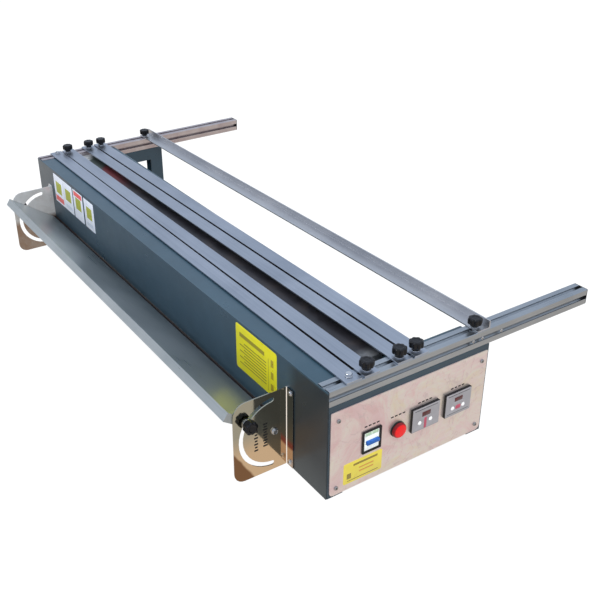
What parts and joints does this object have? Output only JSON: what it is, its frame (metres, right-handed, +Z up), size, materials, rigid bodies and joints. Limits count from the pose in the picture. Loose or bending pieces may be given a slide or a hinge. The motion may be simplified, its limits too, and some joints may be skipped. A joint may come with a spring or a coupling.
{
  "type": "plastic sheet strip heater",
  "caption": "Long bench strip heater for bending plastic sheet: slit plates on slotted cross rails over a heated trough, a sliding back stop, a tilting front tray and an end control box.",
  "frame": {"origin": "on the resting plane, under the middle of the trough's floor plate", "axes": "+X runs along the machine towards the control box, +Y from the operator's side to the back, +Z up"},
  "size_m": [1.2769, 0.7045, 0.2326],
  "materials": {
    "painted_sheet": "dark blue-green gloss powder coat",
    "plate_aluminium": "satin, fine brushed",
    "rail_aluminium": "anodised extrusion",
    "panel_stainless": "stainless, faintly mottled",
    "bracket_stainless": "mirror-polished stainless",
    "tray_sheet": "satin stainless",
    "black_knob": "satin moulded black",
    "fastener_steel": "bright zinc",
    "dark_shield": "heat-darkened, semi-gloss",
    "black_plastic": "satin moulded black",
    "breaker_plastic": "matte moulded off-white",
    "toggle_plastic": "glossy moulded blue",
    "lamp_red": "clear red moulded lens",
    "controller_plastic": "matte moulded grey",
    "button_plastic": "glossy moulded white",
    "heater_tube": "quartz tube with ceramic end caps"
  },
  "bodies": {
    "cabinet": {"front_panel": "painted_sheet", "back_panel": "painted_sheet", "base_plate": "painted_sheet", "far_end_frame": "painted_sheet", "control_box_shell": "painted_sheet", "control_panel_plate": "panel_stainless", "panel_screw_front_lower": "fastener_steel", "panel_screw_back_lower": "fastener_steel", "panel_screw_front_upper": "fastener_steel", "panel_screw_back_upper": "fastener_steel", "breaker_bezel": "black_plastic", "breaker_body": "breaker_plastic", "pilot_lamp_body": "black_plastic", "pilot_lamp_lens": "lamp_red", "controller_1": "controller_plastic", "controller_2": "controller_plastic", "terminal_strip": "black_plastic", "cable_gland": "black_plastic", "near_rail": "rail_aluminium", "far_rail": "rail_aluminium", "slit_plate_1": "plate_aluminium", "plate_1_bolt_near": "fastener_steel", "plate_1_bolt_far": "fastener_steel", "heater_channel_front": "bracket_stainless", "heater_channel_rear": "bracket_stainless", "heater_element_front": "heater_tube", "heater_element_rear": "heater_tube", "heat_shield": "dark_shield", "tray_bracket_near": "bracket_stainless", "tray_bracket_far": "bracket_stainless", "tray_pivot_bolt_near": "fastener_steel", "tray_pivot_bolt_far": "fastener_steel"},
    "plate_2": {"slit_plate_2": "plate_aluminium", "plate_2_tnut_near": "fastener_steel", "plate_2_tnut_far": "fastener_steel"},
    "plate_3": {"slit_plate_3": "plate_aluminium", "plate_3_tnut_near": "fastener_steel", "plate_3_tnut_far": "fastener_steel"},
    "plate_4": {"slit_plate_4": "plate_aluminium", "plate_4_tnut_near": "fastener_steel", "plate_4_tnut_far": "fastener_steel"},
    "backstop": {"backstop_bar": "plate_aluminium", "backstop_tnut_near": "fastener_steel", "backstop_tnut_far": "fastener_steel"},
    "tray": {"angle_tray": "tray_sheet"},
    "knob_2_near": {"plate_2_knob_near": "black_knob"},
    "knob_2_far": {"plate_2_knob_far": "black_knob"},
    "knob_3_near": {"plate_3_knob_near": "black_knob"},
    "knob_3_far": {"plate_3_knob_far": "black_knob"},
    "knob_4_near": {"plate_4_knob_near": "black_knob"},
    "knob_4_far": {"plate_4_knob_far": "black_knob"},
    "backstop_knob_near": {"backstop_knob_near": "black_knob"},
    "backstop_knob_far": {"backstop_knob_far": "black_knob"},
    "tray_knob_near": {"tray_lock_knob_near": "black_knob"},
    "tray_knob_far": {"tray_lock_knob_far": "black_knob"},
    "toggle": {"breaker_toggle": "toggle_plastic"},
    "button_1_down": {"controller_1_button_down": "button_plastic"},
    "button_1_up": {"controller_1_button_up": "button_plastic"},
    "button_2_down": {"controller_2_button_down": "button_plastic"},
    "button_2_up": {"controller_2_button_up": "button_plastic"}
  },
  "joints": [
    {"name": "plate_2_slide", "type": "slide", "parent": "cabinet", "child": "plate_2", "axis": [0, 1, 0], "range_m": [-0.002, 0.0115]},
    {"name": "plate_3_slide", "type": "slide", "parent": "cabinet", "child": "plate_3", "axis": [0, 1, 0], "range_m": [-0.0115, 0.002]},
    {"name": "plate_4_slide", "type": "slide", "parent": "cabinet", "child": "plate_4", "axis": [0, 1, 0], "range_m": [-0.002, 0.05]},
    {"name": "backstop_slide", "type": "slide", "parent": "cabinet", "child": "backstop", "axis": [0, 1, 0], "range_m": [-0.04, 0.24]},
    {"name": "knob_2_near_turn", "type": "hinge", "parent": "plate_2", "child": "knob_2_near", "pos_m": [0.6175, -0.01703, 0.2146], "axis": [0, 0, 1], "continuous": true},
    {"name": "knob_2_far_turn", "type": "hinge", "parent": "plate_2", "child": "knob_2_far", "pos_m": [-0.6175, -0.02347, 0.2146], "axis": [0, 0, 1], "continuous": true},
    {"name": "knob_3_near_turn", "type": "hinge", "parent": "plate_3", "child": "knob_3_near", "pos_m": [0.6175, 0.04932, 0.2146], "axis": [0, 0, 1], "continuous": true},
    {"name": "knob_3_far_turn", "type": "hinge", "parent": "plate_3", "child": "knob_3_far", "pos_m": [-0.6175, 0.03468, 0.2146], "axis": [0, 0, 1], "continuous": true},
    {"name": "knob_4_near_turn", "type": "hinge", "parent": "plate_4", "child": "knob_4_near", "pos_m": [0.6175, 0.08432, 0.2146], "axis": [0, 0, 1], "continuous": true},
    {"name": "knob_4_far_turn", "type": "hinge", "parent": "plate_4", "child": "knob_4_far", "pos_m": [-0.6175, 0.06918, 0.2146], "axis": [0, 0, 1], "continuous": true},
    {"name": "backstop_knob_near_turn", "type": "hinge", "parent": "backstop", "child": "backstop_knob_near", "pos_m": [0.6175, 0.2143, 0.2141], "axis": [0, 0, 1], "continuous": true},
    {"name": "backstop_knob_far_turn", "type": "hinge", "parent": "backstop", "child": "backstop_knob_far", "pos_m": [-0.6175, 0.1977, 0.2141], "axis": [0, 0, 1], "continuous": true},
    {"name": "tray_tilt", "type": "hinge", "parent": "cabinet", "child": "tray", "pos_m": [0, -0.1286, 0.0814], "axis": [1, 0, 0], "range_deg": [-51, 120]},
    {"name": "tray_knob_near_turn", "type": "hinge", "parent": "tray", "child": "tray_knob_near", "pos_m": [0.5233, -0.18184, 0.11799], "axis": [1, 0, 0], "continuous": true},
    {"name": "tray_knob_far_turn", "type": "hinge", "parent": "tray", "child": "tray_knob_far", "pos_m": [-0.5473, -0.18184, 0.11799], "axis": [1, 0, 0], "continuous": true},
    {"name": "toggle_rock", "type": "hinge", "parent": "cabinet", "child": "toggle", "pos_m": [0.6291, -0.0141, 0.0856], "axis": [0, 1, 0], "range_deg": [-30, 30]},
    {"name": "button_1_down_press", "type": "slide", "parent": "cabinet", "child": "button_1_down", "axis": [-1, 0, 0], "range_m": [0, 0.001], "stiffness_N_per_m": 800},
    {"name": "button_1_up_press", "type": "slide", "parent": "cabinet", "child": "button_1_up", "axis": [-1, 0, 0], "range_m": [0, 0.001], "stiffness_N_per_m": 800},
    {"name": "button_2_down_press", "type": "slide", "parent": "cabinet", "child": "button_2_down", "axis": [-1, 0, 0], "range_m": [0, 0.001], "stiffness_N_per_m": 800},
    {"name": "button_2_up_press", "type": "slide", "parent": "cabinet", "child": "button_2_up", "axis": [-1, 0, 0], "range_m": [0, 0.001], "stiffness_N_per_m": 800}
  ]
}
